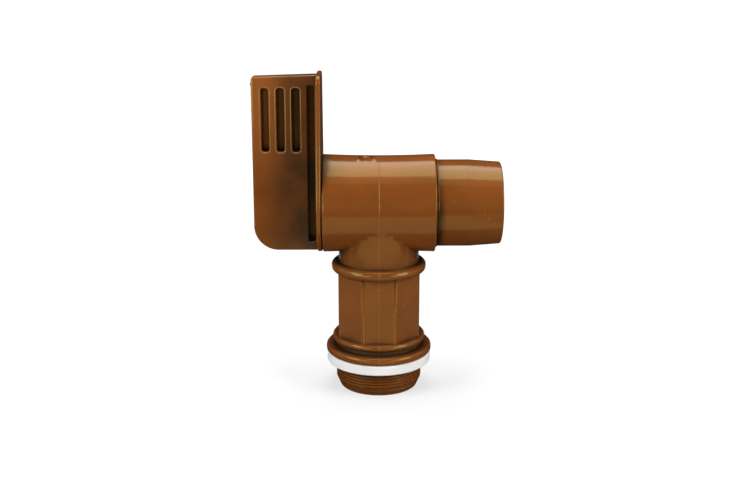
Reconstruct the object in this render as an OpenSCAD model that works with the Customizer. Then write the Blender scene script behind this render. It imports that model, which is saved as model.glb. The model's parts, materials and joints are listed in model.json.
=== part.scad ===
// Two-inch drum tap of the rotary plug type, standing on its threaded end.
// The neck's axis is Z, with Z = 0 at the threaded end. The barrel's axis lies along X,
// with the paddle handle at minus X and the outlet at plus X. Millimetres.
// The handle stands in line with the neck, so the plug's port faces the neck and the tap is open.

/* [Spigot and flange] */
// Outer diameter of the male thread, over its crests
thread_d = 60; // [57:0.5:80]
// Length of the threaded part of the spigot
thread_len = 18; // [12:0.5:30]
// Length of the tapered lead-in at the spigot's end
lead_len = 6.5; // [2:0.5:10]
// How far the lead-in draws in at the spigot's end, on the radius
lead_drop = 2.75; // [0.5:0.25:3]
// Bore through the spigot and the neck
neck_bore_d = 45; // [30:0.5:49]
// Thickness of the gasket under the flange
gasket_t = 7; // [2:0.25:10]
// How far the gasket stands out past the thread's crests, on the radius
gasket_rim = 6.5; // [3:0.25:12]
// How far the flange stands out past the thread's crests, on the radius
flange_rim = 7.1; // [3:0.1:16]
// Thickness of the flange
flange_t = 5.6; // [3:0.1:10]

/* [Neck] */
// Height of the groove between the flange and the lower ring
groove_h = 2.6; // [1:0.1:6]
// Diameter at the bottom of that groove
groove_d = 60; // [56:0.5:64]
// Outer diameter of the lower ring
ring_d = 65.2; // [60:0.2:80]
// Height of the lower ring
ring_h = 5.1; // [3:0.1:8]
// Width of the eight-sided wrench section across its flats
wrench_af = 56.5; // [52:0.5:64]
// Height of the eight-sided wrench section
wrench_h = 45.6; // [20:0.1:80]
// Outer diameter of the upper collar
collar_d = 66.4; // [60:0.2:80]
// Height of the upper collar
collar_h = 7.3; // [3:0.1:12]
// Diameter of the round neck between the collar and the barrel
neck_d = 56; // [52:0.5:60]
// Height from the collar's top to the barrel's axis
neck_rise = 40.7; // [36:0.1:60]

/* [Barrel] */
// Length of the barrel
barrel_len = 77.2; // [70:0.2:110]
// Outer diameter of the barrel at its ends
barrel_d = 67.8; // [66:0.2:76]
// Bore of the barrel
barrel_bore_d = 60.2; // [60:0.1:61]
// How far the barrel draws in at its middle, on the radius
barrel_waist = 0.95; // [0:0.05:1.5]
// Diameter of the scar that the moulding gate left on top of the barrel
gate_d = 9; // [4:0.2:14]
// Distance of the gate scar from the neck's axis, towards the handle
gate_off = 8; // [0:0.5:25]
// How far the gate scar leans from the top of the barrel towards the front, in degrees
gate_lean = 8; // [0:1:30]

/* [Plug and spout] */
// Radial running clearance between the plug and the barrel's bore
plug_clear = 0.1; // [0.02:0.01:0.1]
// Wall of the plug inside the barrel
plug_wall = 4.6; // [4:0.1:6]
// How much wider the plug's port is than the neck's bore that it faces, on the radius
port_over = 0.5; // [0.3:0.1:1]
// How far the spout reaches past the barrel
spout_len = 45.2; // [25:0.2:80]
// Length of the spout's straight stretch next to the barrel
spout_straight = 23.5; // [8:0.5:24]
// Outer diameter of the spout at its lip
lip_d = 57; // [54.5:0.5:59]
// Bore of the spout
spout_bore_d = 52; // [46:0.5:53]
// Cross-section of the two round seals
seal_cord_d = 3; // [2:0.1:3.2]
// Distance of each round seal from the neck's axis
seal_x = 31.6; // [30.5:0.1:35]

/* [Handle] */
// Thickness of the end plate
plate_t = 3.3; // [2.5:0.1:6]
// Diameter of the end plate's round foot
plate_foot_d = 67; // [60:0.5:76]
// Width of the end plate at its top
plate_top_w = 40; // [20:0.5:66]
// Height of the end plate above the barrel's axis
plate_rise = 89.9; // [60:0.1:130]
// Length of the paddle, away from the plate
paddle_len = 44; // [30:0.5:60]
// Thickness of the paddle
paddle_t = 11; // [8:0.5:16]
// Height of the paddle above the barrel's axis, at the plate
paddle_rise = 89.2; // [58:0.5:128]
// Drop of the paddle's top edge, from the plate to the free edge
paddle_fall = 1.3; // [0:0.1:4]
// Depth of the paddle below the barrel's axis
paddle_drop = 32.5; // [20:0.5:33]
// Length of the three short slots
slot_len = 43.4; // [20:0.2:60]
// Distance of the short slots' top from the paddle's top at the plate
slot_top = 9; // [6:0.5:20]
// Wall left behind the slots
slot_web = 1.8; // [1:0.1:3]

/* [Stop] */
// How far the handle turns from open to closed
turn_deg = 90; // [60:1:100]

/* [Hidden] */
$fn = 128;
eps = 0.01;

body_color = [0.55, 0.32, 0.12];
rotor_color = [0.53, 0.30, 0.11];
seal_color = [0.10, 0.10, 0.10];
gasket_color = [0.95, 0.95, 0.93];

// Heights along the neck
gasket_z = thread_len;
flange_z = gasket_z + gasket_t;
groove_z = flange_z + flange_t;
ring_z = groove_z + groove_h;
wrench_z = ring_z + ring_h;
collar_z = wrench_z + wrench_h;
neck_z = collar_z + collar_h;
axis_z = neck_z + neck_rise;
lead_d = thread_d - 2 * lead_drop;
shank_d = thread_d - 1;
gasket_d = thread_d + 2 * gasket_rim;
flange_d = thread_d + 2 * flange_rim;
gasket_clear = 0.25;
flange_edge = 2.1;
rim_flat = 0.2;
ring_edge = (ring_h - rim_flat) / 2;
collar_edge = (collar_h - rim_flat) / 2;
gasket_edge = 1.1;
bore_lead = 1;

// Barrel
barrel_r = barrel_d / 2;
bore_r = barrel_bore_d / 2;
barrel_left = -barrel_len / 2;
barrel_right = barrel_len / 2;
barrel_edge = 1.2;
barrel_lead = 0.5;
gate_h = 0.5;
gate_lip = 1.1;
gate_dish = 0.3;
waist_r = (pow(barrel_len / 2, 2) + pow(barrel_waist, 2)) / (2 * max(barrel_waist, eps));
axial_clear = 0.4;

// Plug and spout
plug_r = bore_r - plug_clear;
plug_bore_r = plug_r - plug_wall;
spout_bore_r = spout_bore_d / 2;
lip_r = lip_d / 2;
spout_end = barrel_right + spout_len;
spout_taper_x = barrel_right + spout_straight;
spout_step_x = seal_x + seal_cord_d;
step_run = 0.6;
lip_edge = min(1, 0.45 * (lip_r - spout_bore_r));
bead_h = 0.6;
port_r = neck_bore_d / 2 + port_over;
seal_gap = 0.05;
seal_squeeze = 0.8;
seal_groove_h = seal_cord_d * seal_squeeze;
seal_groove_w = seal_cord_d * 1.25;
seal_out_r = bore_r - seal_gap;
seal_in_r = plug_r - seal_groove_h + seal_gap;
port_seal_w = 2.6;
port_land = 1.25;
port_seal_in_r = port_r + port_land;
port_seal_out_r = port_seal_in_r + port_seal_w;
port_seal_side = 0.15;
port_seal_h = 2.2;

// Handle
plate_x = barrel_left - axial_clear;
plate_left = plate_x - plate_t;
plate_edge = 1.1;
plate_corner = 6;
paddle_end = plate_left - paddle_len;
paddle_foot_r = 17;
paddle_top_r = 2.5;
paddle_edge = 1.2;
slot_w = 5.2;
slot_r = 1.8;
slot_pitch = 10.5;
slot_lip = 0.5;
long_slot_w = 5;
long_slot_x = plate_left - 1.3 - long_slot_w / 2;
long_slot_r = 1.2;
long_slot_foot = 6;
long_slot_top = 7;
first_slot_x = long_slot_x - slot_pitch + 0.4;
slot_d = paddle_t - slot_web;
nib_d = 1.4;
nib_h = 0.8;
nib_drop = 5.5;

// Stop
lug_half = 8;
lug_h = 1.7;
lug_r = plug_r + lug_h;
lug_len = 2.8;
lug_at = 45;
stop_play = 0.6;
stop_gap = 0.3;

// A rectangle from (x0, y0) to (x1, y1) with its four corners rounded
module round_box(x0, y0, x1, y1, r) {
    translate([x0 + r, y0]) square([x1 - x0 - 2 * r, y1 - y0]);
    translate([x0, y0 + r]) square([x1 - x0, y1 - y0 - 2 * r]);
    for (x = [x0 + r, x1 - r], y = [y0 + r, y1 - r])
        translate([x, y]) circle(r = r);
}

// Half of a disc's section: radius across from the axis, thickness up from y0 to y1, rim rounded
module disc_section(r, y0, y1, edge) {
    round_box(0, y0, r, y1, edge);
    translate([0, y0]) square([r - edge, y1 - y0]);
}

// Turns a section, drawn as radius across and place along the axis, round the neck's axis
module round_neck() {
    rotate_extrude() children();
}

// Turns a section round a line along X, which is the barrel's axis unless y and z say otherwise
module round_barrel(y = 0, z = 0) {
    translate([0, y, axis_z + z])
        rotate([0, 90, 0])
            rotate_extrude() children();
}

// A sector of a ring round the barrel's axis, from angle a0 to a1, measured from +Y towards +Z
module barrel_sector(r0, r1, x0, x1, a0, a1) {
    translate([x0, 0, axis_z])
        rotate([90, 0, 90])
            rotate([0, 0, a0])
                rotate_extrude(angle = a1 - a0)
                    translate([r0, 0]) square([r1 - r0, x1 - x0]);
}

// A ring that stands along Z below the barrel's axis, kept only between two radii round that axis
module saddle_ring(r0, r1, shell_in, shell_out) {
    intersection() {
        translate([0, 0, axis_z - shell_out - 1])
            difference() {
                cylinder(r = r1, h = shell_out + 1);
                translate([0, 0, -1]) cylinder(r = r0, h = shell_out + 3);
            }
        round_barrel()
            translate([shell_in, -r1 - 5]) square([shell_out - shell_in, 2 * r1 + 10]);
    }
}

// Spigot: tapered lead-in, threaded length at the crests' diameter, and the gasket's seat
module spigot() {
    cylinder(d1 = lead_d, d2 = thread_d, h = lead_len);
    translate([0, 0, lead_len]) cylinder(d = thread_d, h = thread_len - lead_len);
    translate([0, 0, thread_len - eps]) cylinder(d = shank_d, h = gasket_t + 2 * eps);
}

module wrench_section() {
    translate([0, 0, wrench_z - eps])
        rotate([0, 0, 22.5])
            cylinder(d = wrench_af / cos(22.5), h = wrench_h + 2 * eps, $fn = 8);
}

module neck() {
    spigot();
    round_neck() disc_section(flange_d / 2, flange_z, groove_z, flange_edge);
    translate([0, 0, groove_z - eps]) cylinder(d = groove_d, h = groove_h + 2 * eps);
    round_neck() disc_section(ring_d / 2, ring_z, wrench_z, ring_edge);
    wrench_section();
    round_neck() disc_section(collar_d / 2, collar_z, neck_z, collar_edge);
    translate([0, 0, neck_z - eps]) cylinder(d = neck_d, h = neck_rise);
}

// The barrel's outside draws in a little towards its middle, along an arc
module barrel_outside() {
    round_barrel()
        difference() {
            disc_section(barrel_r, barrel_left, barrel_right, barrel_edge);
            translate([barrel_r - barrel_waist + waist_r, 0])
                circle(r = waist_r, $fn = 1440);
        }
}

// Scar of the moulding gate: a low dished disc on the top of the barrel
module gate_scar() {
    base = bore_r + (barrel_r - barrel_waist - bore_r) / 2;
    top = barrel_r - barrel_waist + gate_h;
    translate([-gate_off, 0, axis_z])
        rotate([gate_lean, 0, 0])
            difference() {
                translate([0, 0, base]) cylinder(d = gate_d, h = top - base);
                translate([0, 0, top - gate_dish]) cylinder(d = gate_d - 2 * gate_lip, h = 1);
            }
}

// The barrel's bore, with a chamfer at both ends for the plug to enter
module barrel_bore() {
    round_barrel()
        polygon([
            [0, barrel_left - 1], [bore_r + barrel_lead, barrel_left - 1],
            [bore_r + barrel_lead, barrel_left], [bore_r, barrel_left + barrel_lead],
            [bore_r, barrel_right - barrel_lead], [bore_r + barrel_lead, barrel_right],
            [bore_r + barrel_lead, barrel_right + 1], [0, barrel_right + 1]
        ]);
}

// Recess in the barrel's end, on its inner side, in which the rotor's stop lug runs
module stop_recess() {
    barrel_sector(bore_r - 1, lug_r + stop_gap, barrel_left - 1, plate_x + lug_len + stop_gap,
        lug_at - lug_half - stop_play, lug_at + lug_half + turn_deg + stop_play);
}

module body() {
    color(body_color)
        difference() {
            union() {
                neck();
                barrel_outside();
                gate_scar();
            }
            barrel_bore();
            translate([0, 0, -1]) cylinder(d = neck_bore_d, h = axis_z + 1);
            translate([0, 0, -eps])
                cylinder(d1 = neck_bore_d + 2 * bore_lead, d2 = neck_bore_d, h = bore_lead);
            stop_recess();
        }
}

// Wall of the plug and the spout, with the snap bead, the rounded lip and the two seal grooves
module rotor_wall() {
    round_barrel()
        difference() {
            union() {
                polygon([
                    [plug_bore_r, plate_x - eps], [plug_r, plate_x - eps],
                    [plug_r, spout_taper_x], [lip_r, spout_end - lip_edge],
                    [spout_bore_r, spout_end - lip_edge], [spout_bore_r, spout_step_x + step_run],
                    [plug_bore_r, spout_step_x]
                ]);
                round_box(spout_bore_r, spout_end - 3 * lip_edge, lip_r, spout_end, lip_edge);
                translate([plug_r, barrel_right + axial_clear + bead_h]) circle(r = bead_h);
            }
            for (side = [-1, 1])
                translate([plug_r - seal_groove_h, side * seal_x - seal_groove_w / 2])
                    square([seal_groove_h + 1, seal_groove_w]);
        }
}

// A disc of the plate's thickness round a line along X, with its rim rounded on both faces
module plate_disc(y, z, r) {
    round_barrel(y, z) disc_section(r, plate_left, plate_x, plate_edge, $fn = 24);
}

// End plate: a round foot, sides that lean in to a narrower top, and rounded edges all round
module plate() {
    hull() {
        plate_disc(0, 0, plate_foot_d / 2);
        for (side = [-1, 1])
            plate_disc(side * (plate_top_w / 2 - plate_corner), plate_rise - plate_corner,
                plate_corner);
    }
}

// A disc that stands across Y, with its rim rounded on both faces
module paddle_disc(x, z, r) {
    translate([x, paddle_t / 2, axis_z + z])
        rotate([90, 0, 0])
            rotate_extrude($fn = 96)
                disc_section(r, 0, paddle_t, paddle_edge, $fn = 24);
}

// Paddle: a flat grip with one large and one small rounded corner on its free side
module paddle_blank() {
    hull() {
        paddle_disc(paddle_end + paddle_foot_r, paddle_foot_r - paddle_drop, paddle_foot_r);
        paddle_disc(paddle_end + paddle_top_r, paddle_rise - paddle_fall - paddle_top_r,
            paddle_top_r);
        translate([plate_left + 1, 0, axis_z])
            rotate([0, -90, 0])
                linear_extrude(1)
                    round_box(-paddle_drop, -paddle_t / 2, paddle_rise, paddle_t / 2,
                        paddle_edge, $fn = 24);
    }
}

// A blind slot with a chamfered mouth, sunk from the face at y = 0 towards +Y
module slot(x, z0, z1, w, end_r) {
    len = z1 - z0;
    wide = w - 2 * end_r;
    tall = len - 2 * end_r;
    translate([x - w / 2, 0, axis_z + z0]) {
        translate([0, slot_d, 0])
            rotate([90, 0, 0])
                linear_extrude(slot_d + 1) round_box(0, 0, w, len, end_r);
        translate([0, 0, end_r])
            linear_extrude(tall)
                polygon([[0, slot_lip], [-slot_lip - eps, -eps], [w + slot_lip + eps, -eps],
                    [w, slot_lip]]);
        translate([end_r, 0, 0])
            rotate([90, 0, 90])
                linear_extrude(wide)
                    polygon([[slot_lip, 0], [-eps, -slot_lip - eps], [-eps, len + slot_lip + eps],
                        [slot_lip, len]]);
        for (a = [end_r, w - end_r], b = [end_r, len - end_r])
            translate([a, -eps, b])
                rotate([-90, 0, 0])
                    cylinder(r1 = end_r + slot_lip + eps, r2 = end_r, h = slot_lip + eps);
    }
}

// The slots of the front face: three short ones and a long one beside the plate
module slots() {
    top = paddle_rise - slot_top;
    for (i = [0:2])
        slot(first_slot_x - i * slot_pitch, top - slot_len, top, slot_w, slot_r);
    slot(long_slot_x, long_slot_foot - paddle_drop, paddle_rise - long_slot_top, long_slot_w,
        long_slot_r);
}

// The stub that the moulding gate left on the paddle's free edge
module gate_nib() {
    translate([paddle_end + paddle_edge, 0, axis_z + paddle_rise - paddle_fall - nib_drop])
        rotate([0, -90, 0])
            cylinder(d = nib_d, h = paddle_edge + nib_h);
}

module paddle() {
    gate_nib();
    difference() {
        paddle_blank();
        translate([0, -paddle_t / 2, 0]) slots();
    }
}

module stop_lug() {
    barrel_sector(plug_r - 1, lug_r, plate_x - eps, plate_x + lug_len,
        lug_at - lug_half, lug_at + lug_half);
}

module rotor() {
    color(rotor_color)
        difference() {
            union() {
                rotor_wall();
                plate();
                paddle();
                stop_lug();
            }
            translate([0, 0, axis_z - bore_r - 1]) cylinder(r = port_r, h = bore_r + 1);
            saddle_ring(port_seal_in_r - port_seal_side, port_seal_out_r + port_seal_side,
                plug_r - port_seal_h, plug_r + 1);
        }
}

// Round seal, squeezed flat between its groove's floor and the barrel's bore
module round_seal(x) {
    color(seal_color)
        round_barrel()
            intersection() {
                translate([(seal_in_r + seal_out_r) / 2, x]) circle(d = seal_cord_d);
                translate([seal_in_r, x - seal_cord_d]) square([seal_out_r - seal_in_r,
                    2 * seal_cord_d]);
            }
}

module o_ring_handle_end() {
    round_seal(-seal_x);
}

module o_ring_outlet_end() {
    round_seal(seal_x);
}

module port_seal() {
    color(seal_color)
        saddle_ring(port_seal_in_r, port_seal_out_r, plug_r - port_seal_h + seal_gap, seal_out_r);
}

module bung_gasket() {
    color(gasket_color)
        difference() {
            round_neck() disc_section(gasket_d / 2, gasket_z, flange_z, gasket_edge);
            translate([0, 0, gasket_z - 1])
                cylinder(d = shank_d + 2 * gasket_clear, h = gasket_t + 2);
        }
}

body();
rotor();
o_ring_handle_end();
o_ring_outlet_end();
port_seal();
bung_gasket();
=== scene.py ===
"""Looks of a two-inch drum tap: its finish, its helical thread, and the studio that it stands in."""

import json
import math

import bmesh
import bpy
from mathutils import Matrix, Vector

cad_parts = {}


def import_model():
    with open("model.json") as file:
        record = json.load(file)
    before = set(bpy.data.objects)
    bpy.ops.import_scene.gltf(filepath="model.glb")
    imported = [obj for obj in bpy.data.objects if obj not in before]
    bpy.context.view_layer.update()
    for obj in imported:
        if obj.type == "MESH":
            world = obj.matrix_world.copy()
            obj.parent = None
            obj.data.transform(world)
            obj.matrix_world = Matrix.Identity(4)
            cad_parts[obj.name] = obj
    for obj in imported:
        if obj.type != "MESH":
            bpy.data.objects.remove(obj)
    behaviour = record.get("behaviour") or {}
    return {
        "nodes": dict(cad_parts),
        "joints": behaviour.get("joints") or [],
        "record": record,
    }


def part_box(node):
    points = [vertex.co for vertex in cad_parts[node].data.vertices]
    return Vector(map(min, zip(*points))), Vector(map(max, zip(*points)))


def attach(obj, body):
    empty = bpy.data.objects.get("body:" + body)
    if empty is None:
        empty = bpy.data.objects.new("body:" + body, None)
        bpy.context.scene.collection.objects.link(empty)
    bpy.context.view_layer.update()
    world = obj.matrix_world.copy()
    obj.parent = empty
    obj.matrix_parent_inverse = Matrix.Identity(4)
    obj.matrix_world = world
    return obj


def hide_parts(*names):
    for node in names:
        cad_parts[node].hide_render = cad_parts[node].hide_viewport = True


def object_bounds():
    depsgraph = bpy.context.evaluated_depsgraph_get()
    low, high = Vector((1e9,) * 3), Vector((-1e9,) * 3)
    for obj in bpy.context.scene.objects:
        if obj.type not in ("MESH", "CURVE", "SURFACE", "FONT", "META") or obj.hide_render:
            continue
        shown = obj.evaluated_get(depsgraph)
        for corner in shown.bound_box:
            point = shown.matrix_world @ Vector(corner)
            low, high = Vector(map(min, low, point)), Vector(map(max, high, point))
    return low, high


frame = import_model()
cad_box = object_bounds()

MM = 0.001
# Vertices nearer to each other than this are one
WELD = 0.002 * MM
# Room for rounding when places are compared
NEAR = 0.01 * MM

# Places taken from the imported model
GASKET_LOW, GASKET_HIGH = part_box("bung_gasket")
AXIS_Z = frame["joints"][0]["pos_m"][2]
MOUNTS = {mount["name"]: mount for mount in frame["record"]["mounts"]}
THREAD_R = MOUNTS["inlet_thread"]["dims"]["r_mm"] * MM
BORE_R = MOUNTS["inlet_bore"]["dims"]["r_mm"] * MM

# The photograph's frame, in pixels
FRAME_W = 750
FRAME_H = 500
AXIS_X_PX = 378.8
AIM_Y_PX = 233.2

# Camera
AIM_Z = 0.110
CAMERA_FAR = 0.790
CAMERA_PITCH = math.radians(14.0)
CAMERA_TURN = math.radians(-0.5)
METRES_PER_PX = 0.000698
SHIFT_Y = -0.05
SENSOR_W = 36.0
NEAREST_SEEN = 0.01
FARTHEST_SEEN = 50


def camera():
    """A camera in front, a little above, that puts the tap where the photograph has it."""
    focal_px = CAMERA_FAR / METRES_PER_PX
    data = bpy.data.cameras.new("camera")
    data.sensor_width = SENSOR_W
    data.lens = focal_px * SENSOR_W / FRAME_W
    data.shift_y = SHIFT_Y
    data.clip_start = NEAREST_SEEN
    data.clip_end = FARTHEST_SEEN
    turn = Matrix.Rotation(CAMERA_TURN, 3, "Z")
    forward = turn @ Vector((0, math.cos(CAMERA_PITCH), -math.sin(CAMERA_PITCH)))
    up = turn @ Vector((0, math.sin(CAMERA_PITCH), math.cos(CAMERA_PITCH)))
    right = turn @ Vector((1, 0, 0))
    rise = (FRAME_H / 2 + SHIFT_Y * FRAME_W - AIM_Y_PX) / focal_px * CAMERA_FAR
    side = (AXIS_X_PX - FRAME_W / 2) / focal_px * CAMERA_FAR
    obj = bpy.data.objects.new("camera", data)
    obj.location = Vector((0, 0, AIM_Z)) - forward * CAMERA_FAR - up * rise - right * side
    obj.rotation_mode = "QUATERNION"
    obj.rotation_quaternion = forward.to_track_quat("-Z", "Y")
    bpy.context.scene.collection.objects.link(obj)
    bpy.context.scene.camera = obj


class Nodes:
    """A material's or the world's nodes, added and joined in short lines."""

    def __init__(self, tree):
        self.tree = tree
        tree.nodes.clear()

    def add(self, kind, **values):
        node = self.tree.nodes.new(kind)
        for key, value in values.items():
            setattr(node, key, value)
        return node

    def join(self, out, into):
        self.tree.links.new(out, into)

    def feed(self, value, into):
        """Sets a socket to a colour or a number, or joins another node's output to it."""
        if isinstance(value, tuple):
            into.default_value = (*value, 1.0)
        elif isinstance(value, (int, float)):
            into.default_value = value
        else:
            self.join(value, into)

    def math(self, what, a, b):
        node = self.add("ShaderNodeMath", operation=what)
        self.feed(a, node.inputs[0])
        self.feed(b, node.inputs[1])
        return node.outputs[0]

    def product(self, first, *others):
        for other in others:
            first = self.math("MULTIPLY", first, other)
        return first

    def spread(self, value, low, high, to_low=0.0, to_high=1.0):
        """Takes a value's stretch from low to high smoothly to the stretch from to_low to to_high."""
        node = self.add("ShaderNodeMapRange", interpolation_type="SMOOTHSTEP")
        self.join(value, node.inputs[0])
        for slot, number in zip((1, 2, 3, 4), (low, high, to_low, to_high)):
            self.feed(number, node.inputs[slot])
        return node.outputs[0]

    def mix(self, share, a, b):
        node = self.add("ShaderNodeMix", data_type="RGBA")
        self.feed(share, node.inputs[0])
        self.feed(a, node.inputs[6])
        self.feed(b, node.inputs[7])
        return node.outputs[2]

    def parts(self, where):
        """The X and Z of a place."""
        node = self.add("ShaderNodeSeparateXYZ")
        self.join(where, node.inputs[0])
        return node.outputs["X"], node.outputs["Z"]

    def stretched(self, where, scale):
        mapping = self.add("ShaderNodeMapping")
        mapping.inputs["Scale"].default_value = scale
        self.join(where, mapping.inputs["Vector"])
        return mapping.outputs[0]

    def noise(self, where, scale, detail=2.0, rough=0.5):
        node = self.add("ShaderNodeTexNoise")
        self.join(where, node.inputs["Vector"])
        node.inputs["Scale"].default_value = scale
        node.inputs["Detail"].default_value = detail
        node.inputs["Roughness"].default_value = rough
        return node.outputs[0]

    def dots(self, where, scale):
        node = self.add("ShaderNodeTexVoronoi")
        self.join(where, node.inputs["Vector"])
        node.inputs["Scale"].default_value = scale
        return node.outputs["Distance"]

    def bump(self, height, strength, distance, shader):
        node = self.add("ShaderNodeBump")
        node.inputs["Strength"].default_value = strength
        node.inputs["Distance"].default_value = distance
        self.join(height, node.inputs["Height"])
        self.join(node.outputs[0], shader.inputs["Normal"])


def new_material(name, kind="ShaderNodeBsdfPrincipled"):
    """A material with one shader, joined to its output."""
    material = bpy.data.materials.new(name)
    material.use_nodes = True
    n = Nodes(material.node_tree)
    shader = n.add(kind)
    n.join(shader.outputs[0], n.add("ShaderNodeOutputMaterial").inputs["Surface"])
    return material, n, shader


def shade(colour, factor):
    return tuple(factor * c for c in colour)


def grey(level):
    return (level, level, level)


# Places on the rotor where its painted shade, painted light and painted shadow change: along X and up
# Z, in metres
PLATE_EDGE_X = (-0.0428, -0.0420)
PADDLE_SHADE_X = (-0.082, -0.057)
PADDLE_SHADE_Z = (0.150, 0.175)
PAINTED_LIGHT_X = (-0.078, -0.050)
PAINTED_LIGHT_Z = (0.140, 0.200)
ROOT_SHADOW_START_X = (0.0380, 0.0386)
ROOT_SHADOW_END_X = (0.0395, 0.0455)
ROOT_SHADOW_Z = (0.125, 0.152)

# Painted shade on the paddle's lower right, and painted light on its upper left
PADDLE_SHADE_COLOUR = (0.043, 0.024, 0.0125)
PADDLE_SHADE_MOST = 0.92
PADDLE_SHADE_HIGH_SHARE = 0.65
PATCH_SCALE = 42
PATCH_LEAST = 0.55
PAINTED_LIGHT_COLOUR = (0.28, 0.088, 0.018)
PAINTED_LIGHT_MOST = 0.9

# Painted shade, darkest in corners and recesses and held back on the thread, and a painted shadow at
# the spout's root
PAINTED_SHADE_COLOUR = (0.013, 0.007, 0.004)
PAINTED_SHADE_ROUGH = 0.45
PAINTED_SHADE_OPENNESS = (0.35, 0.97)
THREAD_TOP_Z = (0.55 * GASKET_LOW.z, 1.2 * GASKET_LOW.z)
THREAD_PAINTED_SHADE = 0.3
ROOT_SHADOW_MOST = 0.95
ROOT_SHADOW_HIGH_SHARE = 0.2
AO_SAMPLES = 8

# How far from a corner its painted shade reaches
BODY_REACH = 13 * MM
ROTOR_REACH = 8 * MM
SEAM_REACH = 6 * MM
PADDLE_REACH = 3.5 * MM
RIM_REACH = 1 * MM

# Marks in the plastic; scales are in spots a metre
CLOUD_SCALE = 30
FLOW_SCALE = 90
FLOW_STRETCH = (0.3, 1, 1)
FLOW_SHARE = 0.25
SPECK_SCALE = 260
SPECK_GROUP_SCALE = 150
SPECK_SHARE = 0.35
SPECK_COLOUR = (0.42, 0.26, 0.11)
CLEAN_ROUGH = 0.13
SCUFF_SCALE = 420
SCUFF_ROUGH = 0.06
SCRATCH_SCALE = 700
SCRATCH_STRETCH = (0.08, 1, 1)
SCRATCH_ROUGH = 0.08
RIPPLE_SCALE = 330
WAVE_SCALE = 45
WAVE_SHARE = 0.88
PLASTIC_BUMP = 0.10
PLASTIC_BUMP_HEIGHT = 0.6 * MM

# Shine of the plastic
PLASTIC_IOR = 1.5
PLASTIC_SPECULAR = 0.28
PLASTIC_TINT = (1.0, 0.94, 0.36)


def rotor_painted_shading(n, where):
    """Shares of painted shade and painted light on the paddle and of a painted shadow at the spout's
    root, and the reach of the painted corner shade, which is short on the paddle."""
    x, z = n.parts(where)
    patchy = n.spread(n.noise(where, PATCH_SCALE, 3, 0.55), 0.30, 0.62, PATCH_LEAST, 1.0)
    on_paddle = n.spread(x, *PLATE_EDGE_X, 1.0, 0.0)
    high = n.spread(z, *PADDLE_SHADE_Z, 1.0, PADDLE_SHADE_HIGH_SHARE)
    # Painted shade: darker in patches towards the paddle's lower right
    paddle_shade = n.product(n.spread(x, *PADDLE_SHADE_X), on_paddle, high, patchy, PADDLE_SHADE_MOST)
    # Painted light: lighter towards the paddle's upper left
    painted_light = n.product(n.spread(x, *PAINTED_LIGHT_X, 1.0, 0.0), n.spread(z, *PAINTED_LIGHT_Z, 0.0, PAINTED_LIGHT_MOST))
    # Painted shadow on the spout's root, beside the barrel's end
    root_shadow = n.product(n.spread(x, *ROOT_SHADOW_END_X, ROOT_SHADOW_MOST, 0.0), n.spread(x, *ROOT_SHADOW_START_X),
                     n.spread(z, *ROOT_SHADOW_Z, 1.0, ROOT_SHADOW_HIGH_SHARE))
    return paddle_shade, painted_light, root_shadow, n.spread(x, *PLATE_EDGE_X, PADDLE_REACH, ROTOR_REACH)


def brown_plastic(name, colour, reach, painted_shading=None):
    """Glossy brown polyethylene: flow marks, specks, scuffs, ripple, and painted shade in corners and
    recesses.
    """
    material, n, shader = new_material(name)
    where = n.add("ShaderNodeTexCoord").outputs["Object"]

    cloud = n.spread(n.noise(where, CLOUD_SCALE, 3), 0.3, 0.7)
    flow = n.spread(n.noise(n.stretched(where, FLOW_STRETCH), FLOW_SCALE, 4, 0.6), 0.35, 0.8)
    speck = n.spread(n.dots(where, SPECK_SCALE), 0.10, 0.16, 1.0, 0.0)
    group = n.spread(n.noise(where, SPECK_GROUP_SCALE, 1), 0.60, 0.66)
    base = n.mix(cloud, shade(colour, 0.90), shade(colour, 1.08))
    base = n.mix(n.product(flow, FLOW_SHARE), base, shade(colour, 1.2))
    base = n.mix(n.product(speck, group, SPECK_SHARE), base, SPECK_COLOUR)
    # Painted light, painted shade and a painted shadow on the rotor
    if painted_shading:
        paddle_shade, painted_light, root_shadow, reach = painted_shading(n, where)
        base = n.mix(painted_light, base, PAINTED_LIGHT_COLOUR)
        base = n.mix(paddle_shade, base, PADDLE_SHADE_COLOUR)
        base = n.mix(root_shadow, base, PAINTED_SHADE_COLOUR)

    # Painted shade: ambient occlusion darkens the colour in corners and recesses, less on the thread,
    # and roughens it there
    corner = n.add("ShaderNodeAmbientOcclusion", samples=AO_SAMPLES)
    n.feed(reach, corner.inputs["Distance"])
    z = n.parts(where)[1]
    painted_shade = n.product(n.spread(corner.outputs["AO"], *PAINTED_SHADE_OPENNESS, 1.0, 0.0),
                      n.spread(z, *THREAD_TOP_Z, THREAD_PAINTED_SHADE, 1.0))
    n.join(n.mix(painted_shade, base, PAINTED_SHADE_COLOUR), shader.inputs["Base Color"])

    scuff = n.spread(n.noise(where, SCUFF_SCALE, 2, 0.6), 0.5, 0.8)
    scratch = n.spread(n.noise(n.stretched(where, SCRATCH_STRETCH), SCRATCH_SCALE, 2, 0.7), 0.62, 0.72)
    rough = n.math("ADD", n.product(scuff, SCUFF_ROUGH), CLEAN_ROUGH)
    rough = n.math("ADD", rough, n.product(scratch, SCRATCH_ROUGH))
    rough = n.math("ADD", rough, n.product(painted_shade, PAINTED_SHADE_ROUGH))
    n.join(rough, shader.inputs["Roughness"])
    n.feed(PLASTIC_IOR, shader.inputs["IOR"])
    n.feed(PLASTIC_SPECULAR, shader.inputs["Specular IOR Level"])
    n.feed(PLASTIC_TINT, shader.inputs["Specular Tint"])

    ripple = n.product(n.noise(where, RIPPLE_SCALE), 1.0 - WAVE_SHARE)
    wave = n.product(n.noise(where, WAVE_SCALE, rough=0.4), WAVE_SHARE)
    n.bump(n.math("ADD", ripple, wave), PLASTIC_BUMP, PLASTIC_BUMP_HEIGHT, shader)
    return material


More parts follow.
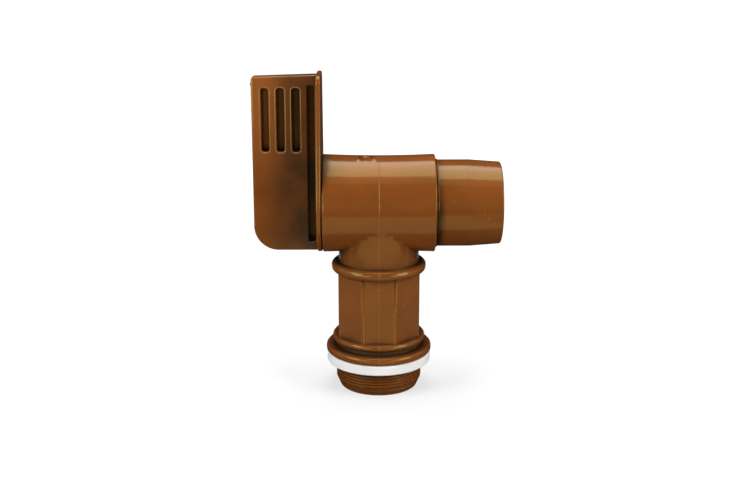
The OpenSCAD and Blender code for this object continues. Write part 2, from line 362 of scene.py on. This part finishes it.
# Matt rubber and foam
SOFT_CLOUD_SCALE = 60
SOFT_DARKER = 0.93
GRAIN_ROUGH = 0.15
SOFT_BUMP = 0.15
SOFT_BUMP_HEIGHT = 0.3 * MM


def soft_material(name, colour, roughness, grain_scale):
    """Matt rubber or foam with a fine grain and a little unevenness of colour."""
    material, n, shader = new_material(name)
    where = n.add("ShaderNodeTexCoord").outputs["Object"]
    cloud = n.spread(n.noise(where, SOFT_CLOUD_SCALE, 3, 0.6), 0.3, 0.7)
    n.join(n.mix(cloud, shade(colour, SOFT_DARKER), colour), shader.inputs["Base Color"])
    grain = n.noise(where, grain_scale, 2, 0.6)
    n.join(n.math("ADD", n.product(grain, GRAIN_ROUGH), roughness), shader.inputs["Roughness"])
    n.bump(grain, SOFT_BUMP, SOFT_BUMP_HEIGHT, shader)
    return material


def dress(node, material):
    """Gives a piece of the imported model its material."""
    mesh = frame["nodes"][node].data
    mesh.materials.clear()
    mesh.materials.append(material)


def packed_mesh(node):
    """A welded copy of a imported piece's mesh, to work on."""
    bm = bmesh.new()
    bm.from_mesh(frame["nodes"][node].data)
    bmesh.ops.remove_doubles(bm, verts=bm.verts, dist=WELD)
    return bm


def finish_piece(name, bm, material, sharp_deg, body="housing"):
    """Turns a bmesh into a shown piece of a body, smooth but for its sharp edges."""
    mesh = bpy.data.meshes.new(name)
    bm.normal_update()
    bm.to_mesh(mesh)
    bm.free()
    mesh.polygons.foreach_set("use_smooth", [True] * len(mesh.polygons))
    mesh.set_sharp_from_angle(angle=math.radians(sharp_deg))
    mesh.materials.append(material)
    obj = bpy.data.objects.new(name, mesh)
    bpy.context.scene.collection.objects.link(obj)
    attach(obj, body)
    return obj


def bridge(bm, low, high):
    """Joins two loops of as many vertices with a closed band of quads."""
    for k in range(len(low)):
        after = (k + 1) % len(low)
        bm.faces.new((low[k], low[after], high[after], high[k]))


def angle_of(vert):
    return math.atan2(vert.co.y, vert.co.x) % math.tau


def radius_of(vert):
    return math.hypot(vert.co.x, vert.co.y)


def zip_rings(bm, low, high):
    """Joins two rings of vertices round Z with triangles, wherever each has its vertices."""
    low = sorted(low, key=angle_of)
    high = sorted(high, key=angle_of)
    i = j = 0
    while i < len(low) or j < len(high):
        next_low = angle_of(low[(i + 1) % len(low)]) + (math.tau if i + 1 >= len(low) else 0)
        next_high = angle_of(high[(j + 1) % len(high)]) + (math.tau if j + 1 >= len(high) else 0)
        a, b = low[i % len(low)], high[j % len(high)]
        if j >= len(high) or (i < len(low) and next_low <= next_high):
            bm.faces.new((a, low[(i + 1) % len(low)], b))
            i += 1
        else:
            bm.faces.new((a, high[(j + 1) % len(high)], b))
            j += 1


# The thread: eleven and a half turns an inch, right-handed
THREAD_PITCH = 25.4 / 11.5 * MM
THREAD_DEPTH = 1.35 * MM
CREST_SHARE = 0.30
ROOT_SHARE = 0.16
THREAD_COLUMNS = 180
THREAD_ROW = 0.11 * MM
RUN_OUT = 0.5 * MM
END_GAP = 0.12 * MM

# What lies this far outside the bore is the body's outer wall
WALL_LEAST = 2.5 * MM
OUTER_LEAST_R = BORE_R + WALL_LEAST
LEVEL_NORMAL = 0.9
BODY_SHARP_DEG = 32


def thread_radius(z, angle, end_r, lead_top):
    """Radius of the thread's surface: a truncated V, cut down by the tapered lead-in."""
    turn = ((z / THREAD_PITCH) - angle / math.tau) % 1.0
    away = abs(turn - 0.5) * 2
    flank = 1.0 - CREST_SHARE - ROOT_SHARE
    sunk = min(max((away - CREST_SHARE) / flank, 0.0), 1.0)
    sunk = sunk * sunk * (3 - 2 * sunk)
    fade = min(1.0, max(0.0, (GASKET_LOW.z - z) / RUN_OUT))
    cone = end_r + (THREAD_R - end_r) * min(1.0, z / lead_top)
    return min(THREAD_R - THREAD_DEPTH * sunk * fade, cone)


def thread_ring(bm, z, end_r, lead_top):
    ring = []
    for column in range(THREAD_COLUMNS):
        angle = math.tau * column / THREAD_COLUMNS
        r = thread_radius(z, angle, end_r, lead_top)
        ring.append(bm.verts.new((r * math.cos(angle), r * math.sin(angle), z)))
    return ring


# The wrench section's eight upright corners, each a turn of about 45 degrees
CORNER_ROUND = 0.6 * MM
CORNER_LEAST_LEN = 20 * MM
CORNER_LEAST_TURN = math.radians(40)
CORNER_MOST_TURN = math.radians(50)


def is_wrench_corner(edge):
    along = edge.verts[0].co - edge.verts[1].co
    return (abs(along.z) > CORNER_LEAST_LEN and math.hypot(*along.xy) < NEAR
            and radius_of(edge.verts[0]) > OUTER_LEAST_R and len(edge.link_faces) == 2
            and CORNER_LEAST_TURN < edge.calc_face_angle() < CORNER_MOST_TURN)


def soften_wrench_corners(bm):
    """Rounds the eight upright corners, and welds the faces that this leaves without width."""
    corners = [e for e in bm.edges if is_wrench_corner(e)]
    bmesh.ops.bevel(bm, geom=corners, offset=CORNER_ROUND, segments=3, profile=0.5,
                    affect="EDGES", clamp_overlap=True)
    bmesh.ops.remove_doubles(bm, verts=bm.verts, dist=WELD)


def threaded_body(material):
    """The moulded body again, with the real helical thread in place of the plain spigot."""
    bm = packed_mesh("body")
    soften_wrench_corners(bm)
    low_limit = GASKET_LOW.z + NEAR
    wall = [f for f in bm.faces
            if all(v.co.z < low_limit and radius_of(v) > OUTER_LEAST_R for v in f.verts)
            and abs(f.normal.z) < LEVEL_NORMAL]
    lead_top = min(v.co.z for f in wall for v in f.verts if radius_of(v) > THREAD_R - NEAR)
    bmesh.ops.delete(bm, geom=wall, context="FACES")
    rim = {v for e in bm.edges if e.is_boundary for v in e.verts}
    foot = [v for v in rim if v.co.z < GASKET_LOW.z / 2]
    top = [v for v in rim if v.co.z > GASKET_LOW.z / 2]
    end_r = max(radius_of(v) for v in foot)
    thread_len = GASKET_LOW.z - 2 * END_GAP
    rows = round(thread_len / THREAD_ROW)
    rings = [thread_ring(bm, END_GAP + thread_len * row / rows, end_r, lead_top)
             for row in range(rows + 1)]
    for low, high in zip(rings, rings[1:]):
        bridge(bm, low, high)
    zip_rings(bm, foot, rings[0])
    zip_rings(bm, rings[-1], top)
    obj = finish_piece("threaded_body", bm, material, BODY_SHARP_DEG)
    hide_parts("body")


# The seam that the mould's two halves left across the middle of the body
SEAM_SINK = 0.15 * MM
SEAM_SECTION = [(x * MM, rise * MM) for x, rise in
                ((-0.32, 0), (-0.18, 0.11), (0, 0.15), (0.18, 0.11), (0.32, 0))]
SEAM_SHARP_DEG = 30
OUTSIDE_BARREL = 31.5 * MM
OUTSIDE_NECK = 26.5 * MM
OVER_GASKET = 0.1 * MM
CUT_NEAR = 0.0005 * MM


def on_outside(co):
    """True for a point of the body's middle section that lies on its outer line."""
    above = co.z - AXIS_Z
    return (math.hypot(co.y, above) > OUTSIDE_BARREL
            and (above > 0 or abs(co.y) > OUTSIDE_NECK)
            and co.z > GASKET_HIGH.z + OVER_GASKET)


def middle_outline():
    """Points of the body's outer line in the plane X = 0, from one side of the flange to the other."""
    bm = packed_mesh("body")
    bmesh.ops.bisect_plane(bm, geom=bm.verts[:] + bm.edges[:] + bm.faces[:],
                           dist=CUT_NEAR, plane_co=(0, 0, 0), plane_no=(1, 0, 0),
                           clear_inner=True, clear_outer=True)
    bmesh.ops.remove_doubles(bm, verts=bm.verts, dist=NEAR)
    links = {}
    for e in bm.edges:
        if all(on_outside(v.co) for v in e.verts):
            for v in e.verts:
                links.setdefault(v, []).append(e)
    at = min((v for v in links if len(links[v]) == 1), key=lambda v: v.co.y)
    points, before = [at.co.copy()], None
    while True:
        onward = [e for e in links[at] if e is not before]
        if not onward:
            break
        before = onward[0]
        at = before.other_vert(at)
        points.append(at.co.copy())
    bm.free()
    return points


def seam(material):
    """A thin raised line along the outline, sunk into the surface on its underside."""
    points = middle_outline()
    edge_y = cad_box[1].y
    left, right = SEAM_SECTION[0][0], SEAM_SECTION[-1][0]
    section = [(left, -SEAM_SINK)] + SEAM_SECTION + [(right, -SEAM_SINK)]
    bm = bmesh.new()
    rings = []
    for i, p in enumerate(points):
        ahead = (points[min(i + 1, len(points) - 1)] - points[max(i - 1, 0)]).normalized()
        out = Vector((0, -ahead.z, ahead.y))
        ring = []
        for x, rise in section:
            q = p + out * rise
            ring.append(bm.verts.new((x, max(-edge_y, min(edge_y, q.y)), q.z)))
        rings.append(ring)
    for low, high in zip(rings, rings[1:]):
        bridge(bm, low, high)
    bm.faces.new(reversed(rings[0]))
    bm.faces.new(rings[-1])
    bmesh.ops.recalc_face_normals(bm, faces=bm.faces)
    finish_piece("parting_seam", bm, material, SEAM_SHARP_DEG)


# The low rounded bead that runs round each short slot of the paddle
RIM_SECTION = [(away * MM, rise * MM) for away, rise in
               ((0.02, -0.15), (0.04, 0.04), (0.16, 0.15), (0.34, 0.20), (0.52, 0.15), (0.64, 0.04),
                (0.66, -0.15))]
RIM_SHARP_DEG = 35
FACE_LEVEL_STEP = 0.1 * MM
FRONT_NORMAL = -0.999


def front_face(bm):
    """The flat front face of the paddle: of all levels that face the front, the one with most area."""
    levels = {}
    for f in bm.faces:
        if f.normal.y < FRONT_NORMAL:
            level = round(f.calc_center_median().y / FACE_LEVEL_STEP)
            levels.setdefault(level, set()).add(f)
    return max(levels.values(), key=lambda fs: sum(f.calc_area() for f in fs))


def slot_mouths():
    """Loops of points round the three short slots' mouths, in the flat front face of the paddle."""
    bm = packed_mesh("rotor")
    face = front_face(bm)
    links = {}
    for f in face:
        for e in f.edges:
            if sum(g in face for g in e.link_faces) == 1:
                for v in e.verts:
                    links.setdefault(v, set()).add(e)
    loops, seen = [], set()
    for first in links:
        if first in seen:
            continue
        loop, at = [], first
        while at not in seen:
            seen.add(at)
            loop.append(at.co.copy())
            onward = [e.other_vert(at) for e in links[at] if e.other_vert(at) not in seen]
            if onward:
                at = onward[0]
        loops.append(loop)
    bm.free()
    loops.sort(key=lambda loop: max(p.z for p in loop) - min(p.z for p in loop))
    *short_slots, long_slot, outline = loops
    return short_slots


def slot_rims(material):
    """A raised bead round each short slot's mouth, sunk into the face on its underside."""
    bm = bmesh.new()
    for loop in slot_mouths():
        middle = sum(loop, Vector()) / len(loop)
        rings = []
        for i, p in enumerate(loop):
            along = loop[(i + 1) % len(loop)] - loop[i - 1]
            out = Vector((along.z, 0, -along.x)).normalized()
            if out.dot(p - middle) < 0:
                out = -out
            rings.append([bm.verts.new(p + out * away - Vector((0, rise, 0)))
                          for away, rise in RIM_SECTION])
        for i, ring in enumerate(rings):
            bridge(bm, ring, rings[(i + 1) % len(rings)])
    bmesh.ops.recalc_face_normals(bm, faces=bm.faces)
    finish_piece("slot_rims", bm, material, RIM_SHARP_DEG, "plug")


# Studio
WHITE = (1, 1, 1)
ROOM_LIGHT = 0.12
FLOOR_HALF = 8.0
FLOOR_COLOUR = 0.42
FLOOR_ROUGH = 0.8
FLOOR_GLOW = 0.58
GLOW_NEAR = 0.30
GLOW_FAR = 0.90
DARK = 0.02
GREY = 0.30
CARD_LIFT = 1 * MM
FRONT_CARD_LIFT = 2 * MM
CARD_HALF = 1.5
FRONT_Y = -1.5
FRONT_CARD_END_Y = -0.36
BACK_Y = 0.55
BACK_TOP = 0.75
FAR_BACK_Y = 1.4
CURTAIN_TOP = 2.6


def seen_ray(n):
    """One for a ray from the camera, a reflection or a clear body, and nought for soft light."""
    rays = n.add("ShaderNodeLightPath")
    seen = n.math("MAXIMUM", rays.outputs["Is Camera Ray"], rays.outputs["Is Glossy Ray"])
    return n.math("MAXIMUM", seen, rays.outputs["Is Transmission Ray"])


def world():
    """White where it is seen, and a weaker light on the objects."""
    scene_world = bpy.data.worlds.new("studio")
    scene_world.use_nodes = True
    bpy.context.scene.world = scene_world
    n = Nodes(scene_world.node_tree)
    out = n.add("ShaderNodeOutputWorld")
    back = n.add("ShaderNodeBackground")
    n.feed(WHITE, back.inputs["Color"])
    strength = n.math("ADD", n.product(seen_ray(n), 1.0 - ROOM_LIGHT), ROOM_LIGHT)
    n.join(strength, back.inputs["Strength"])
    n.join(back.outputs[0], out.inputs["Surface"])


def stage_sheet(name, corners, material):
    """A flat sheet of the studio."""
    mesh = bpy.data.meshes.new(name)
    mesh.from_pydata(corners, [], [tuple(range(len(corners)))])
    mesh.materials.append(material)
    obj = bpy.data.objects.new(name, mesh)
    bpy.context.scene.collection.objects.link(obj)
    return obj


def floor():
    """A plain pale floor that glows to white away from the tap and keeps the tap's shadow."""
    material, n, shader = new_material("floor_pale")
    n.feed(grey(FLOOR_COLOUR), shader.inputs["Base Color"])
    n.feed(FLOOR_ROUGH, shader.inputs["Roughness"])
    n.feed(0.0, shader.inputs["Specular IOR Level"])
    n.feed(WHITE, shader.inputs["Emission Color"])
    away = n.add("ShaderNodeVectorMath", operation="LENGTH")
    n.join(n.add("ShaderNodeTexCoord").outputs["Object"], away.inputs[0])
    glow = n.spread(away.outputs["Value"], GLOW_NEAR, GLOW_FAR, FLOOR_GLOW, 1.0)
    n.join(n.product(seen_ray(n), glow), shader.inputs["Emission Strength"])
    half = FLOOR_HALF
    stage_sheet("floor", [(-half, -half, 0), (half, -half, 0), (half, half, 0), (-half, half, 0)],
                material)


def card(name, corners, level):
    """A flat card of the studio, which reflections show and the camera doesn't."""
    material, n, shader = new_material(name, "ShaderNodeBsdfDiffuse")
    n.feed(grey(level), shader.inputs["Color"])
    obj = stage_sheet(name, corners, material)
    obj.visible_camera = False
    obj.visible_diffuse = False
    obj.visible_shadow = False


def curtain(name, y, top):
    """A dark card that stands upright across the studio."""
    half = CARD_HALF
    card(name, [(-half, y, 0.0), (half, y, 0.0), (half, y, top), (-half, y, top)], DARK)


def low_card(name, outline, level=DARK, lift=CARD_LIFT):
    """A card that lies just over the floor."""
    card(name, [(x, y, lift) for x, y in outline], level)


def cards():
    """What the plastic mirrors: dark in front, behind and below, and grey at its sides."""
    half = CARD_HALF
    curtain("front_curtain", FRONT_Y, CURTAIN_TOP)
    low_card("front_floor_card", [(-half, FRONT_Y), (half, FRONT_Y), (half, FRONT_CARD_END_Y),
                                  (-half, FRONT_CARD_END_Y)], lift=FRONT_CARD_LIFT)
    curtain("back_curtain", BACK_Y, BACK_TOP)
    curtain("back_curtain_high", FAR_BACK_Y, CURTAIN_TOP)
    # The card under the tap is a painted shadow: it stands in for the tap's shadow on the floor, seen
    # only in reflections
    low_card("under_shadow_card", [(-0.12, -0.085), (0.12, -0.085), (0.12, 0.22), (-0.12, 0.22)])
    for name, side in (("left", -1), ("right", 1)):
        low_card(name + "_back_card", [(side * 0.12, 0.0), (side * half, 0.0), (side * 1.36, 0.63),
                                       (side * 0.80, 1.27), (side * 0.12, 0.19)])
        low_card(name + "_grey_card", [(side * 0.12, -0.30), (side * 1.0, -0.30), (side * 1.0, 0.0),
                                       (side * 0.12, 0.0)], GREY)


def softbox(name, where, size, radiance, aim, mirrored=True, lit=True):
    """A flat rectangular lamp that faces aim: seen in reflections, as soft light, or as both."""
    data = bpy.data.lights.new(name, "AREA")
    data.shape = "RECTANGLE"
    data.size, data.size_y = size
    data.energy = radiance * math.pi * size[0] * size[1]
    obj = bpy.data.objects.new(name, data)
    obj.location = where
    obj.rotation_mode = "QUATERNION"
    obj.rotation_quaternion = (Vector(aim) - Vector(where)).to_track_quat("-Z", "Y")
    obj.visible_camera = False
    obj.visible_glossy = mirrored
    obj.visible_diffuse = lit
    bpy.context.scene.collection.objects.link(obj)


# Lamps: the points that they face, their sizes and their radiances
OVER_SPOUT = (0.05, 0.19)
AIM_HIGH = (0.0, 0.0, 0.14)
AIM_LOW = (0.0, 0.0, 0.10)
OVERHEAD_SIZE = (0.52, 0.74)
OVERHEAD_RISE = 0.75
OVERHEAD_RADIANCE = 5.2
SIDE_SIZE = (0.55, 0.45)
SIDE_RADIANCE = 9.0
STREAK_SIZE = (0.75, 0.26)
STREAK_RADIANCE = 9.0
FILL_SIZE = (0.7, 0.4)
FILL_RADIANCE = 3.2


def lamps():
    """One lamp overhead, one at each side, two low ones for streaks, and a soft fill in front."""
    softbox("overhead", (*OVER_SPOUT, AXIS_Z + OVERHEAD_RISE), OVERHEAD_SIZE, OVERHEAD_RADIANCE,
            (*OVER_SPOUT, AXIS_Z))
    softbox("left_side", (-0.866, -0.50, 0.605), SIDE_SIZE, SIDE_RADIANCE, AIM_HIGH)
    softbox("right_side", (0.866, -0.50, 0.605), SIDE_SIZE, SIDE_RADIANCE, AIM_HIGH)
    softbox("left_low", (-0.64, -0.74, 0.16), STREAK_SIZE, STREAK_RADIANCE, AIM_LOW, lit=False)
    softbox("right_low", (0.72, -0.66, 0.16), STREAK_SIZE, STREAK_RADIANCE, AIM_LOW, lit=False)
    softbox("front_fill", (0.0, -1.15, 0.25), FILL_SIZE, FILL_RADIANCE, AIM_LOW, mirrored=False)


# Colours of the pieces
BODY_COLOUR = (0.195, 0.057, 0.0105)
SEAM_COLOUR = (0.25, 0.088, 0.030)
ROTOR_COLOUR = (0.190, 0.056, 0.0105)
# The slot rims are painted lighter than the rotor: a painted highlight
RIM_HIGHLIGHT_COLOUR = (0.31, 0.130, 0.042)
SEAL_COLOUR = (0.02, 0.02, 0.02)
SEAL_ROUGH = 0.35
SEAL_GRAIN_SCALE = 900
GASKET_COLOUR = (0.93, 0.93, 0.91)
GASKET_ROUGH = 0.5
GASKET_GRAIN_SCALE = 700

bpy.context.scene.view_settings.view_transform = "Standard"
camera()
world()
floor()
cards()
lamps()

body_finish = brown_plastic("body_plastic", BODY_COLOUR, BODY_REACH)
dress("body", body_finish)
threaded_body(body_finish)
seam(brown_plastic("seam_plastic", SEAM_COLOUR, SEAM_REACH))
dress("rotor", brown_plastic("rotor_plastic", ROTOR_COLOUR, ROTOR_REACH, rotor_painted_shading))
# The rims' lighter colour is a painted highlight on their bead
slot_rims(brown_plastic("rims_painted_lighter", RIM_HIGHLIGHT_COLOUR, RIM_REACH))
seal_finish = soft_material("seal_rubber", SEAL_COLOUR, SEAL_ROUGH, SEAL_GRAIN_SCALE)
for seal in ("o_ring_handle_end", "o_ring_outlet_end", "port_seal"):
    dress(seal, seal_finish)
dress("bung_gasket", soft_material("gasket_white", GASKET_COLOUR, GASKET_ROUGH, GASKET_GRAIN_SCALE))
